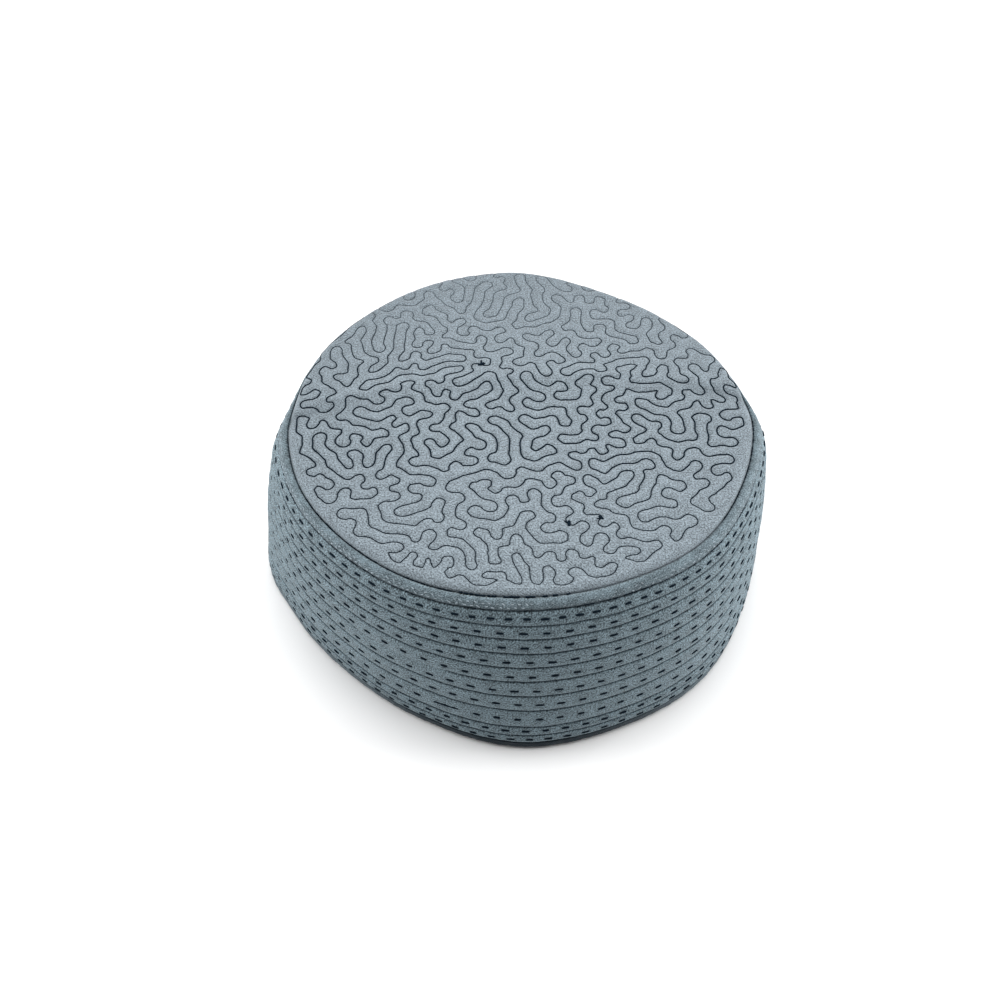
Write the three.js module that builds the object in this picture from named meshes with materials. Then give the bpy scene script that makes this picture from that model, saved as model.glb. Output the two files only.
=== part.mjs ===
// A brimless prayer cap: a quilted flat crown, a rolled rim, a side band sewn in ten rows, and a hem.
// Millimetres, +Z up. The front faces -Y. A heading is in degrees, from the front round towards +X.
import * as THREE from 'three';
import { mergeVertices } from 'three/addons/utils/BufferGeometryUtils.js';

// Driving dimensions
const SEAM_HEIGHT = 76.3; // from the surface that the cap stands on to the crown seam
const CROWN_CLOTH = 2.4; // quilted crown: two cloths with wadding between them
const BAND_CLOTH = 2.4; // side band: two cloths with stiffening between them
const PIECE_GAP = 0.3; // clearance between one piece and the next
const CROWN_DOME = 1.6; // rise of the crown's middle above its edge
const MARGIN_PUFF = 0.7; // rise of the crown's plain margin above the seam
const FOLD_RIDGE = 2.2; // height of the soft fold line that crosses the crown
const FOLD_SPREAD = 13; // distance over which the fold line dies away
const FOLD_OFFSET = 17.5; // how far the fold line lies behind the crown's middle
const FOLD_SKEW = 0.07; // how far the fold line runs back towards +X, per millimetre
const FOLD_BOW = 0.0013; // how strongly the fold line bends forwards towards its ends, per millimetre
const BACK_MIDDLE = 181; // heading of the middle of the part that sinks behind the fold line
const BACK_HALF = 93; // degrees from there to the creases, where the sinking starts
const BACK_RAMP = 30; // degrees over which it grows
const BACK_DROOP = 4; // how far the crown seam sinks at the back
const CURL_SHARE = 0.955; // share of the radius where the crown starts to curl down to a sunk seam
const BACK_TUCK = 1.8; // how far the rim and the band's top are tucked in under the crown at the back
const TUCK_RAMP = 12; // degrees over which the tuck grows
const RIM_FOOT = 73; // height where the rim roll ends and the band begins
const RIM_LEAN = 2.95; // how far the rim roll stands out
const ROW_BELLY = 0.35; // how far each row swells out between its grooves
const GROOVE_DEPTH = 0.4; // how far the wall draws in at a groove
const HEM_HEIGHT = 3.3;
const HEM_CLOTH = 3.0;
const PLAN_SEGMENTS = 64;
const PROFILE_RADIUS = 90; // circle that the ring profiles are drawn on before they take the plan
const CLOTH_COLOUR = 0x76868f;
const HEM_COLOUR = 0x55646d;

// Radii of the crown seam and of the hem's outer edge, at even steps round from the front.
const PLAN = [
  { heading: 0.0, crown: 84.0, hem: 96.0 },
  { heading: 22.5, crown: 84.5, hem: 95.5 },
  { heading: 45.0, crown: 86.5, hem: 97.0 },
  { heading: 67.5, crown: 86.0, hem: 96.0 },
  { heading: 90.0, crown: 87.0, hem: 96.5 },
  { heading: 112.5, crown: 86.0, hem: 96.5 },
  { heading: 135.0, crown: 83.3, hem: 96.5 },
  { heading: 157.5, crown: 83.8, hem: 96.0 },
  { heading: 180.0, crown: 88.2, hem: 95.0 },
  { heading: 202.5, crown: 88.2, hem: 92.5 },
  { heading: 225.0, crown: 87.0, hem: 92.5 },
  { heading: 247.5, crown: 87.0, hem: 96.5 },
  { heading: 270.0, crown: 85.5, hem: 101.5 },
  { heading: 292.5, crown: 86.0, hem: 96.0 },
  { heading: 315.0, crown: 85.0, hem: 91.5 },
  { heading: 337.5, crown: 85.0, hem: 92.0 },
];

// Upright creases at the two ends, where the cap folds flat: headings and swellings at seam and hem.
const CREASES = [
  { crownHeading: 274, hemHeading: 279, crownSwell: 0.6, hemSwell: 2.4, width: 9 },
  { crownHeading: 88, hemHeading: 88, crownSwell: 0.0, hemSwell: 1.9, width: 9 },
];

// Grooves between the band's rows, from the rim down: height, and lean outside the straight wall.
const GROOVES = [
  { height: 72.9, lean: 2.95 },
  { height: 67.4, lean: 4.6 },
  { height: 61.4, lean: 4.6 },
  { height: 54.5, lean: 4.7 },
  { height: 47.5, lean: 4.6 },
  { height: 40.0, lean: 4.2 },
  { height: 32.0, lean: 3.7 },
  { height: 23.2, lean: 2.7 },
  { height: 13.6, lean: 2.1 },
  { height: 8.7, lean: 1.9 },
  { height: 3.6, lean: 0.9 },
];

// The rim roll's section, round from the crown seam: lean outside the straight wall, drop below the seam.
const ROLL_SECTION = [
  { lean: 0.1, drop: 0.8 },
  { lean: 0.8, drop: 0.4 },
  { lean: 1.7, drop: 0.5 },
  { lean: 2.5, drop: 1.2 },
  { lean: 2.95, drop: 2.2 },
  { lean: 2.95, drop: 2.9 },
  { lean: 1.7, drop: 3.1 },
  { lean: 0.1, drop: 2.6 },
];

// Reads a column of the plan between its headings, smoothly and round the full circle.
function planColumn(column, heading) {
  const step = 360 / PLAN.length;
  const place = (((heading % 360) + 360) % 360) / step;
  const first = Math.floor(place) % PLAN.length;
  const t = place - Math.floor(place);
  const at = (k) => PLAN[(first + k + PLAN.length) % PLAN.length][column];
  const before = at(-1);
  const start = at(0);
  const end = at(1);
  const after = at(2);
  const curve = 2 * before - 5 * start + 4 * end - after;
  const twist = 3 * start - before - 3 * end + after;
  return 0.5 * (2 * start + (end - before) * t + curve * t * t + twist * t * t * t);
}

// Signed difference between two headings, within half a turn.
function headingGap(a, b) {
  return ((((a - b + 180) % 360) + 360) % 360) - 180;
}

// Radius of the straight wall between the crown seam and the hem.
function wallRadius(heading, height) {
  const fall = 1 - height / SEAM_HEIGHT;
  let radius = THREE.MathUtils.lerp(planColumn('crown', heading), planColumn('hem', heading), fall);
  for (const crease of CREASES) {
    const centre = THREE.MathUtils.lerp(crease.crownHeading, crease.hemHeading, fall);
    const swell = THREE.MathUtils.lerp(crease.crownSwell, crease.hemSwell, fall);
    radius += swell * Math.exp(-((headingGap(heading, centre) / crease.width) ** 2));
  }
  return radius;
}

// How far the crown seam sinks behind the fold line: nothing at the creases, most at the back.
function backDroop(heading) {
  const inside = (BACK_HALF - Math.abs(headingGap(heading, BACK_MIDDLE))) / BACK_RAMP;
  return BACK_DROOP * (1 - (1 - THREE.MathUtils.clamp(inside, 0, 1)) ** 2);
}

// Lean of a place on the rim roll or the band once it is tucked in behind the fold line.
function tucked(heading, height, lean) {
  const inside = (BACK_HALF - Math.abs(headingGap(heading, BACK_MIDDLE))) / TUCK_RAMP;
  const tuck = BACK_TUCK * THREE.MathUtils.clamp(inside, 0, 1);
  return lean - tuck * (height > RIM_FOOT ? lean / RIM_LEAN : height / SEAM_HEIGHT);
}

// Rise of the crown above the front seam: a low dome with the fold line across it, curled down at the back.
function crownRise(x, y, share) {
  const foldLine = FOLD_OFFSET + FOLD_SKEW * x - FOLD_BOW * x * x;
  const ridge = FOLD_RIDGE * Math.exp(-Math.abs(y - foldLine) / FOLD_SPREAD);
  const curl = Math.max(0, (share - CURL_SHARE) / (1 - CURL_SHARE));
  const heading = THREE.MathUtils.radToDeg(Math.atan2(x, -y));
  return (CROWN_DOME + ridge) * (1 - share ** 4) - backDroop(heading) * (1 - Math.sqrt(1 - curl ** 2));
}

// Moves every point of a turned solid, then welds it into one closed skin.
function reshape(geometry, move) {
  geometry.rotateX(Math.PI / 2);
  geometry.deleteAttribute('normal');
  geometry.deleteAttribute('uv');
  const positions = geometry.getAttribute('position');
  const point = new THREE.Vector3();
  for (let i = 0; i < positions.count; i += 1) {
    point.fromBufferAttribute(positions, i);
    move(point);
    positions.setXYZ(i, point.x, point.y, point.z);
  }
  const skin = mergeVertices(geometry, 1e-4);
  skin.computeVertexNormals();
  return skin;
}

// A ring that follows the wall: its section is a closed loop of points, lean by height.
function ringAlongWall(section) {
  const loop = section.map(({ lean, height }) => new THREE.Vector2(PROFILE_RADIUS + lean, height));
  loop.push(loop[0].clone());
  return reshape(new THREE.LatheGeometry(loop, PLAN_SEGMENTS), (point) => {
    const profile = Math.hypot(point.x, point.y);
    const heading = THREE.MathUtils.radToDeg(Math.atan2(point.x, -point.y));
    const radius = wallRadius(heading, point.z) + tucked(heading, point.z, profile - PROFILE_RADIUS);
    point.x *= radius / profile;
    point.y *= radius / profile;
    point.z *= 1 - backDroop(heading) / SEAM_HEIGHT;
  });
}

function crownPanel() {
  const top = [0, 0.12, 0.26, 0.4, 0.54, 0.68, 0.82, 0.92];
  const edge = [
    { share: 0.965, rise: MARGIN_PUFF },
    { share: 0.98, rise: 0.55 },
    { share: 0.99, rise: 0.3 },
    { share: 1, rise: -0.5 },
    { share: 1, rise: -CROWN_CLOTH + 0.6 },
    { share: 0.99, rise: -CROWN_CLOTH },
  ];
  const under = [0.8, 0.54, 0.26, 0];
  const profile = [
    ...top.map((share) => ({ share, rise: MARGIN_PUFF })),
    ...edge,
    ...under.map((share) => ({ share, rise: MARGIN_PUFF - CROWN_CLOTH })),
  ].reverse();
  const loop = profile.map(({ share, rise }) => new THREE.Vector2(share * PROFILE_RADIUS, rise));
  return reshape(new THREE.LatheGeometry(loop, PLAN_SEGMENTS), (point) => {
    const share = Math.hypot(point.x, point.y) / PROFILE_RADIUS;
    const heading = THREE.MathUtils.radToDeg(Math.atan2(point.x, -point.y));
    const scale = (wallRadius(heading, SEAM_HEIGHT) - PIECE_GAP) / PROFILE_RADIUS;
    point.x *= scale;
    point.y *= scale;
    point.z += SEAM_HEIGHT + crownRise(point.x, point.y, Math.min(share, 1));
  });
}

function rimRoll() {
  const section = ROLL_SECTION.map(({ lean, drop }) => ({ lean, height: SEAM_HEIGHT - drop }));
  return ringAlongWall(section.reverse());
}

// The band's outer face swells along each row and draws in at each groove, and its inner face is plain.
function sideBand() {
  const outer = [];
  for (let row = 1; row < GROOVES.length; row += 1) {
    const above = GROOVES[row - 1];
    const below = GROOVES[row];
    const tall = above.height - below.height;
    const lean = (above.lean + below.lean) / 2;
    const start = row === 1 ? above.height - PIECE_GAP / 2 : above.height;
    outer.push({ lean: above.lean - GROOVE_DEPTH, height: start });
    outer.push({ lean: above.lean + ROW_BELLY / 2, height: above.height - 0.2 * tall });
    outer.push({ lean: lean + ROW_BELLY, height: above.height - 0.55 * tall });
  }
  const bottom = GROOVES[GROOVES.length - 1];
  outer.push({ lean: bottom.lean, height: bottom.height + PIECE_GAP / 2 });
  const inner = GROOVES.filter((groove, i) => i % 2 === 0).map(({ height, lean }) => ({
    lean: lean - BAND_CLOTH - GROOVE_DEPTH,
    height,
  }));
  inner[0].height -= PIECE_GAP / 2;
  inner[inner.length - 1].height += PIECE_GAP / 2;
  return ringAlongWall([...inner, ...outer.reverse()]);
}

function hemBand() {
  const { lean } = GROOVES[GROOVES.length - 1];
  const section = [
    { lean: lean - 0.2, height: HEM_HEIGHT },
    { lean: lean - 0.2, height: HEM_HEIGHT * 0.4 },
    { lean: 0.2, height: 0.4 },
    { lean: -0.4, height: 0 },
    { lean: lean - HEM_CLOTH + 0.3, height: 0 },
    { lean: lean - HEM_CLOTH, height: 0.5 },
    { lean: lean - HEM_CLOTH, height: HEM_HEIGHT },
  ];
  return ringAlongWall(section.reverse());
}

function clothPiece(name, geometry, colour, roughness) {
  const material = new THREE.MeshStandardMaterial({ color: colour, roughness, metalness: 0 });
  const mesh = new THREE.Mesh(geometry, material);
  mesh.name = name;
  return mesh;
}

const cap = new THREE.Group();
cap.add(
  clothPiece('crown_panel', crownPanel(), CLOTH_COLOUR, 0.95),
  clothPiece('rim_roll', rimRoll(), CLOTH_COLOUR, 0.95),
  clothPiece('side_band', sideBand(), CLOTH_COLOUR, 0.92),
  clothPiece('hem_band', hemBand(), HEM_COLOUR, 0.95),
);

// The origin goes to the middle of the cap's plan, on the surface that it stands on.
const middle = new THREE.Box3().setFromObject(cap).getCenter(new THREE.Vector3());
cap.position.set(-middle.x, -middle.y, 0);

export default cap;
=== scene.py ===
import math
import random
from functools import lru_cache

import bmesh
import bpy
import numpy
from bpy.props import FloatProperty, FloatVectorProperty, IntProperty, PointerProperty
from mathutils import Matrix, Vector, noise
from mathutils.kdtree import KDTree


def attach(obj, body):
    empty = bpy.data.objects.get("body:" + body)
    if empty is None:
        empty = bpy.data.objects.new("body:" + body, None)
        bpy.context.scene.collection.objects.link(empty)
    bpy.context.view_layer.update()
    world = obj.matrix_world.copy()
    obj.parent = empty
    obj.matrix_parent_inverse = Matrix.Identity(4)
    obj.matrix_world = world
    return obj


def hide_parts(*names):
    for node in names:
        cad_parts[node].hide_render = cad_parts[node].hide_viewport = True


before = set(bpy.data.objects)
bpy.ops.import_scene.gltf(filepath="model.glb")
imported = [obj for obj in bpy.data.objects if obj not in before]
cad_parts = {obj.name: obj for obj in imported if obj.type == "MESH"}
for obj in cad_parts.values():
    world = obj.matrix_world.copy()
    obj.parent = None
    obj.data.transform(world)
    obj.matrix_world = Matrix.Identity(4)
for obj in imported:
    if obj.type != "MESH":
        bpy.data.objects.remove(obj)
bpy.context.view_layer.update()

bl_info = {
    "name": "Prayer Cap",
    "version": (1, 0, 0),
    "blender": (4, 5, 0),
    "location": "View3D > Sidebar > Prayer Cap",
    "description": "Makes a brimless prayer cap: quilted crown, rim roll, row-stitched band and hem",
    "category": "Add Mesh",
}

BODY = "root"

# The cap is worked out in millimetres in its own plan, then moved to the frame and scaled to metres.
MM = 0.001
SEAM_HEIGHT = 76.3
PLAN_SHIFT = Vector((1.8916, 0.4279, 0.0))
PIECE_GAP = 0.3

# Radii of the crown seam and of the hem's outer edge, at even steps round from the front towards +X.
PLAN = {
    "crown": (84.0, 84.5, 86.5, 86.0, 87.0, 86.0, 83.3, 83.8, 88.2, 88.2, 87.0, 87.0, 85.5, 86.0, 85.0, 85.0),
    "hem": (96.0, 95.5, 97.0, 96.0, 96.5, 96.5, 96.5, 96.0, 95.0, 92.5, 92.5, 96.5, 101.5, 96.0, 91.5, 92.0),
}

# Upright creases at the two ends: heading at seam and hem, swelling at seam and hem, width in degrees.
CREASES = (
    {"crown_heading": 274.0, "hem_heading": 279.0, "crown_swell": 0.6, "hem_swell": 2.4, "width": 9.0},
    {"crown_heading": 88.0, "hem_heading": 88.0, "crown_swell": 0.0, "hem_swell": 1.9, "width": 9.0},
)

# Behind the crown's fold line the cap sinks a little: middle and half width in degrees, ramp and depth.
BACK_MIDDLE, BACK_HALF, BACK_RAMP = 181.0, 93.0, 30.0
BACK_DROOP = 4.0
CURL_SHARE = 0.955
# There the rim roll and the band's top are also tucked in under the crown: depth, ramp and the rim's foot.
BACK_TUCK, TUCK_RAMP = 1.8, 12.0
RIM_FOOT, RIM_LEAN = 73.0, 2.95

# Grooves between the band's rows, from the rim down: height, and lean outside the straight wall.
GROOVES = (
    (72.9, 2.95),
    (67.4, 4.6),
    (61.4, 4.6),
    (54.5, 4.7),
    (47.5, 4.6),
    (40.0, 4.2),
    (32.0, 3.7),
    (23.2, 2.7),
    (13.6, 2.1),
    (8.7, 1.9),
    (3.6, 0.9),
)

# Rows of running stitches: height, one stitch's place along the row from the front, spacing, and the change
# of the spacing per stitch.
STITCH_ROWS = (
    {"height": 70.2, "start": -118.0, "pitch": 6.62, "drift": -0.037},
    {"height": 64.5, "start": -123.0, "pitch": 7.72, "drift": 0.0},
    {"height": 58.0, "start": -92.0, "pitch": 7.75, "drift": 0.0},
    {"height": 50.6, "start": -98.2, "pitch": 7.77, "drift": 0.0},
    {"height": 43.2, "start": -104.8, "pitch": 7.76, "drift": 0.0},
    {"height": 35.4, "start": -95.1, "pitch": 7.74, "drift": 0.0},
    {"height": 27.4, "start": -94.3, "pitch": 7.77, "drift": 0.0},
    {"height": 18.6, "start": -85.0, "pitch": 7.66, "drift": 0.0},
    {"height": 11.7, "start": -71.7, "pitch": 7.37, "drift": 0.0},
    {"height": 6.2, "start": -110.4, "pitch": 6.38, "drift": 0.0394},
)
LONG_STITCH_ROW = 7
LONG_STITCH_AT = -27.6

# Crown
CROWN_DOME = 1.6
MARGIN_PUFF = 0.7
FOLD_RIDGE = 2.2
FOLD_SPREAD = 13.0
FOLD_OFFSET = 17.5
FOLD_SKEW = 0.07
FOLD_BOW = 0.0013
FOLD_CREST = 0.2
# The crown turns down from this share of its radius: drop of its plain shape, and a little more of its cloth
EDGE_SHARE, EDGE_DROP, EDGE_TURN = 0.972, 1.1, 0.2
# Rings of the crown's edge and underside: share of the seam's radius, drop below the plain crown
CROWN_UNDERSIDE = (
    (1.0, 0.6), (0.995, 1.2), (0.97, 2.2), (0.9, 2.3), (0.75, 2.3),
    (0.6, 2.3), (0.45, 2.3), (0.3, 2.3), (0.16, 2.3), (0.06, 2.3),
)
# Soft unevenness of the crown's cloth, as the other pieces have theirs: strength, size and seed of each noise
CROWN_LUMPS = ((0.08, 7.0, 2), (0.28, 31.0, 3))
# The plain margin round the quilting, how ragged it is, and the share of it that goes with each mm of droop
QUILT_MARGIN, QUILT_RAGGED, QUILT_BACK_SHARE = 3.0, 7.5, 0.16
RAGGED_RING, RAGGED_SIZE, RAGGED_SEED = 80.0, 8.0, 21
# The tree that the quilting line first goes round: spread and spacing of its places, lane beside a branch,
# a branch's longest reach and clearance in spacings, chance to go on from the last place, most places, tries
QUILT_SCATTER, QUILT_TREE, QUILT_LANE = 88.0, 12.5, 2.3
QUILT_REACH, QUILT_CLEAR, QUILT_WANDER = 1.75, 0.66, 0.6
QUILT_MOST, QUILT_TRIES = 400, 1500
# The line's growth: step along it, chance of a new place, turns to settle and turns at most
QUILT_STEP, QUILT_GROWTH, QUILT_SETTLE, QUILT_TURNS = 2.1, 0.02, 60, 400
# What moves it: push apart, smoothing, pull to even steps, longest stride, and hold of the margin, then the
# reach of the push in spacings and the turns between two looks for what lies near
QUILT_PUSH, QUILT_SMOOTH, QUILT_SPRING, QUILT_STRIDE, QUILT_HOLD = 1.3, 0.5, 0.2, 0.45, 0.6
QUILT_NEAR, QUILT_RENEW = 1.3, 6
# Its length against an even fill, and the steps of its smooth curve
QUILT_FILL, QUILT_STEPS = 0.93, 4
# The groove that it is sewn in: half width and depth, height and reach of the pillows beside it
QUILT_GROOVE, QUILT_SINK = 0.55, 0.32
QUILT_PILLOW, PILLOW_REACH = 0.18, 1.6
# The thread's radius, and how far its middle lies above the groove's bottom
QUILT_THREAD, THREAD_SHOW = 0.2, 0.17
# How heavily the quilting line shows, from the front of the crown to the back: place in plan, weight
LINE_WEIGHTS = (
    (-85.0, 0.7), (-45.0, 0.95), (-20.0, 1.4), (15.0, 1.4), (36.0, 0.8), (60.0, 0.45), (88.0, 0.3),
)
# Painted shade: the crown is darkened away from its front: strength, where that starts, and reach
FAR_SHADE, FAR_SHADE_FROM, FAR_SHADE_REACH = 0.27, -35.0, 105.0
# Soft dents in front of the fold line's two ends: depth, how far in front, width, reach, place of the ends
DENT_DEPTH, DENT_FRONT, DENT_WIDTH, DENT_REACH, DENT_END = 0.9, 4.5, 3.6, 26.0, 84.0
# Painted shade in the quilting grooves, at the crown's edge, in the dents and underneath
QUILT_SHADE, CROWN_EDGE_SHADE, DENT_SHADE, UNDERSIDE_SHADE = 0.3, 0.7, 0.45, 0.6
# Knots on the crown: place in plan, the direction that each lies in, and heft
TIE_OFFS = ((-13.5, 26.5, 0.5, 1.2), (16.6, -54.0, 1.5, 1.0), (27.5, -51.8, 2.4, 0.85))
# Length, width and rise of a knot and of its tail, and the tail's turn and place off the knot
KNOT_SIZE, TAIL_SIZE = Vector((2.6, 1.2, 0.9)), Vector((2.4, 0.6, 0.6))
TAIL_TURN, TAIL_OFF, KNOT_LIFT = 1.1, 0.9, 0.05

# Rim roll: its section round from the crown seam, as lean outside the wall and drop below the seam
PROFILE_RADIUS = 90.0
ROLL_SECTION = (
    (0.15, 0.8), (0.8, 0.35), (1.7, 0.5), (2.5, 1.2), (2.95, 2.2), (2.95, 3.0), (1.7, 3.2), (0.15, 2.6),
)
ROLL_STEPS = 6
# Soft unevenness of the roll, up and down and in and out
ROLL_WAVE = ((0.18, 4.0, 4),)
ROLL_LUMPS = ((0.22, 6.0, 6), (0.12, 1.9, 17))
# Leans that bound the roll's inner wall and its outside, and the drop and reach of its low part
ROLL_INSIDE, ROLL_OUTSIDE = 0.3, 0.5
ROLL_LOW_FROM, ROLL_LOW_REACH = 0.8, 2.2
# Painted shade on the roll's inner wall and on its low part
ROLL_INNER_SHADE, ROLL_LOW_SHADE = 0.4, 0.85
# The lower seam's ragged shade: strength and size of its fine and its broad part
RAG_FINE, RAG_FINE_SIZE, RAG_BROAD, RAG_BROAD_SIZE = 0.5, 1.6, 0.4, 6.0
# Stretches of the rim with edge stitches: from, to and heft
EDGE_STITCHES = ((-100.0, 2.0, 1.0), (2.0, 24.0, 0.6), (24.0, 82.0, 0.85))
EDGE_STITCH_PITCH = 1.3
# The two lines of edge stitches, which take turns: lean, drop below the seam, how far they face up
EDGE_LINES = ((2.45, 1.1, 1.0), (3.0, 2.1, 0.35))
# Their unevenness along in pitches and across, how deep they may sink, then slant, length, width and rise
EDGE_JITTER, EDGE_DROP_JITTER, EDGE_SUNK_MOST = 0.25, 0.15, 0.2
EDGE_SLANT, EDGE_LENGTH, EDGE_WIDTH, EDGE_RISE = (-0.6, 0.9), (0.8, 1.5), (0.32, 0.5), 0.45
# Dark stitches in the two seams of the rim: from, to, heft, lean, drop below the seam, share left out
SEAM_STITCHES = (
    (-62.0, -14.0, 0.8, -0.1, 0.5, 0.2),
    (-14.0, 12.0, 1.4, -0.1, 0.35, 0.1),
    (55.0, 90.0, 0.7, -0.1, 0.55, 0.3),
    (-75.0, -12.0, 0.85, 2.95, 3.15, 0.3),
    (-12.0, 14.0, 0.6, 2.95, 3.2, 0.5),
    (14.0, 66.0, 1.1, 2.95, 3.15, 0.2),
)
# Their unevenness along in pitches and across, how far they face up, and their length, width and rise
SEAM_STITCH_PITCH = 2.1
SEAM_JITTER, SEAM_RISE_JITTER, SEAM_FACING_UP = 0.2, 0.16, 0.8
SEAM_STITCH_LENGTH, SEAM_STITCH_WIDTH, SEAM_STITCH_RISE = (1.1, 2.1), 0.5, 0.7
# The thread in the crown seam: radius, drop below the seam, lean, how deep it sinks where the seam is shut
SEAM_THREAD, SEAM_THREAD_DROP, SEAM_THREAD_LEAN, SEAM_THREAD_HIDDEN = 0.11, 0.72, -0.1, 0.9
SEAM_THREAD_STEPS = 720
# Where the crown seam is shut: place and reach beside the front, then strength and reach at the front
SEAM_SHUT_AT, SEAM_SHUT_REACH = 31.0, 20.0
SEAM_SHUT_FRONT, SEAM_SHUT_FRONT_REACH = 0.7, 15.0
# How far the roll's inner wall leans to the crown everywhere, and how much more where the seam is shut
SEAM_NEAR, SEAM_NEARER = 0.12, 0.28
# Lip under the crown's edge, which closes the seam to the inside: length, drop below the seam, half height
SEAM_LIP, SEAM_LIP_DROP, SEAM_LIP_HALF = 1.0, 1.3, 0.25

# Side band
BAND_CLOTH = 2.4
OUTER_MARK, INNER_MARK = 100.0, 80.0
BAND_LUMPS = ((0.20, 16.0, 13), (0.08, 4.5, 14))
# The rows' sway up and down, and how far from the band's edges it starts
ROW_SWAY = ((0.30, 13.0, 11), (0.12, 3.5, 12), (0.10, 1.5, 19))
SWAY_MARGIN = 0.5
ROW_BELLY = 0.35
# A row's face is drawn in below its upper groove and above its lower one: depth and reach of each, then the
# half width of a groove's line of painted shade
GROOVE_LAP, LAP_REACH = 0.45, 0.25
GROOVE_TUCK, TUCK_REACH = 0.6, 0.5
GROOVE_HALF = 0.3
# The groove that fades: its number, from, to, ramp and how much of it goes
FADED_GROOVE, FADE_FROM, FADE_TO, FADE_RAMP, FADE_SHARE = 5, -42.0, -15.0, 3.0, 0.9
# Mesh rings of a row: below its upper groove, above its lower groove, and their spacing between
RINGS_BELOW, RINGS_ABOVE, RING_SPACING = (0.0, 0.15, 0.32, 0.55, 0.9), (0.6, 0.36, 0.2, 0.08), 0.75
# The band's inner wall: rings, and how far in from the outer face and at most out it is, less the cloth
INNER_RINGS, INNER_SLACK, INNER_MOST = 10, 0.5, 3.9
STITCH_LENGTH = 2.8
STITCH_WIDTH = 0.95
STITCH_RISE = 0.7
STITCH_SINK = 0.3
STITCH_DIMPLE = 1.1
LONG_STITCH = 10.0
# Near the creases the stitches pull in and the grooves' painted shade grows fainter: middle, from, to, ramp,
# and their size there
END_MIDDLE, END_FROM, END_TO, END_RAMP = 2.0, 62.0, 122.0, 14.0
END_STITCH, END_GROOVE = 0.5, 0.45
# Painted shade in the grooves is made unevenly darker and lighter: strength and size
GROOVE_SHADE_RIPPLE, GROOVE_SHADE_RIPPLE_SIZE = 0.5, 2.4
# A row's spacing changes over so many stitches, and it ends this share of a stitch before it meets itself
DRIFT_LIMIT, ROW_END = 36, 0.4
# How unevenly the stitches are sewn: length as shares, slip along the row, lift across it and tilt
LENGTH_SHARES, SLIP, LIFT, TILT = (0.86, 1.12), 0.22, 0.16, 0.07
# The cloth's dimple under a stitch: places along the stitch, and shade
DIMPLE_PLACES, DIMPLE_SHADE = (-0.32, 0.0, 0.32), 0.35
# Share of a stitch's length that stays however small it gets, and how far it stands out of its dimple
LENGTH_KEPT, STITCH_PROUD = 0.4, 0.12

# Hem: its section as lean outside the wall and height
HEM_SECTION = ((0.7, 3.3), (0.7, 1.2), (0.2, 0.4), (-0.4, 0.0), (-1.8, 0.0), (-2.1, 0.5), (-2.1, 3.3))
HEM_STEPS = 4
# The hem is uneven except where it stands: strength, size and seed of each noise, and the height it takes
HEM_LUMPS = ((0.18, 3.2, 15), (0.12, 1.4, 16))
HEM_FREE = 0.6
# Painted shade on the hem, darkest at the front: its shade elsewhere, and reach of the dark stretch in
# degrees
HEM_SHADE_END, HEM_SHADE_REACH = 0.3, 36.0

# Cloth and thread
CLOTH_MAP = "cloth"
# Name of the painted shade that darkens the cloth per vertex, in grooves, dents, underneath and on the hem's
# front
FOLD_SHADE = "fold_shade"
# One unit of the cloth map is 100 mm, and the bend of the crown's edge is laid out from this radius outwards
CLOTH_MM_PER_DEGREE, CLOTH_UNIT, BENT_FROM = 1.65, 0.01, 10.0
# The felted grain's inputs and what they are when a material doesn't set them
CONTRASTS = {"Grain Contrast": 0.25, "Twill Contrast": 0.1, "Mottle Contrast": 0.1}
GRAIN_NOISE = {"Scale": 165.0, "Detail": 3.0, "Roughness": 0.7}
TWILL_WAVE = {"Scale": 52.0, "Distortion": 1.2, "Detail": 2.0, "Detail Scale": 2.5}
MOTTLE_NOISE = {"Scale": 22.0, "Detail": 4.0}
# The darkest that the grain may make the cloth, and the shares of grain and twill in its relief
SHADE_LEAST, RELIEF_SHARES = 0.25, (0.7, 0.3)
CLOTH_FINISH = {"Roughness": 0.94, "Specular IOR Level": 0.12, "Sheen Weight": 0.12, "Sheen Roughness": 0.6}
CLOTH_RELIEF = {"Strength": 0.6, "Distance": 0.0004}
# Painted shade: the near-black colour that each cloth is darkened towards in its grooves, folds and shaded
# parts
PAINTED_SHADE_COLOUR = (0.005, 0.013, 0.021)
EDGE_THREAD_TINT = 1.02
STRAND_NOISE = {"Scale": 1800.0, "Detail": 2.0}
STRAND_SHARES = (0.55, 1.45)
STRAND_RELIEF = {"Strength": 0.4, "Distance": 0.0001}
# Each cloth's tint of the cap's colour, and the strength of its grain, twill, mottling and fold shade. The
# rim, band and hem are tinted darker than the crown partly as painted shade on the same cloth, and partly
# bluer in hue
FELTS = {
    "crown_felt": {"tint_and_shade": (0.695, 0.705, 0.71), "grain": 4.5, "twill": 0.08, "mottle": 0.6, "fold": 0.6},
    "rim_felt": {"tint_and_shade": (0.44, 0.495, 0.505), "grain": 4.8, "twill": 0.2, "mottle": 1.6, "fold": 0.85},
    "band_felt": {"tint_and_shade": (0.475, 0.55, 0.565), "grain": 7.4, "twill": 0.2, "mottle": 0.9, "fold": 0.8},
    "hem_felt": {"tint_and_shade": (0.42, 0.47, 0.48), "grain": 4.0, "twill": 0.3, "mottle": 1.0, "fold": 0.9},
}

# Stage
PHOTO_WIDTH_PX = 1000.0
CAMERA_FOCAL_PX = 1160.9
CAMERA_DOWN = 48.55
CAMERA_DISTANCE = 470.0
CAMERA_TARGET = Vector((-7.24, 0.0, 28.78))
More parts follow.
